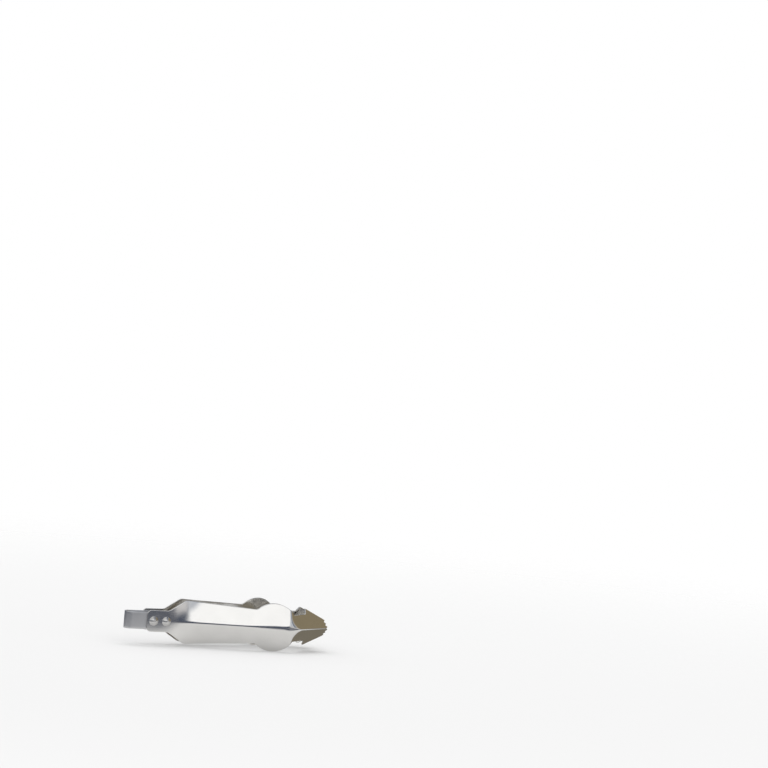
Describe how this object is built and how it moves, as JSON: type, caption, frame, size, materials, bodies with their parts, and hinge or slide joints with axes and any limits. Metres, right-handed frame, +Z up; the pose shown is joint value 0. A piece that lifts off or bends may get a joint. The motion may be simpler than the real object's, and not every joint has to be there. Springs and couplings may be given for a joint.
{
  "type": "fruit eye remover",
  "caption": "Squeeze clip of polished steel: ridged arms on a spring bow, with round grip lobes and toothed folded beaks that close into a funnel.",
  "frame": {"origin": "the axis that the spring bow bends round, midway across the arms", "axes": "+X from the bow to the toothed beaks, +Y towards the far arm, +Z up across the width of the arms, as the clip lies on its side"},
  "size_m": [0.0996, 0.0314, 0.0226],
  "materials": {
    "polished_steel": "mirror polished",
    "spring_steel": "satin",
    "rivet_steel": "polished"
  },
  "bodies": {
    "near_side": {"near_arm": "polished_steel", "spring_bow": "spring_steel", "near_front_rivet": "rivet_steel", "near_rear_rivet": "rivet_steel"},
    "far_side": {"far_arm": "polished_steel", "far_front_rivet": "rivet_steel", "far_rear_rivet": "rivet_steel"}
  },
  "joints": [
    {"name": "squeeze", "type": "hinge", "parent": "near_side", "child": "far_side", "pos_m": [0, 0, 0], "axis": [0, 0, -1], "range_deg": [-4, 3.26], "stiffness_Nm_per_rad": 6, "deforming": ["spring_bow"]}
  ]
}
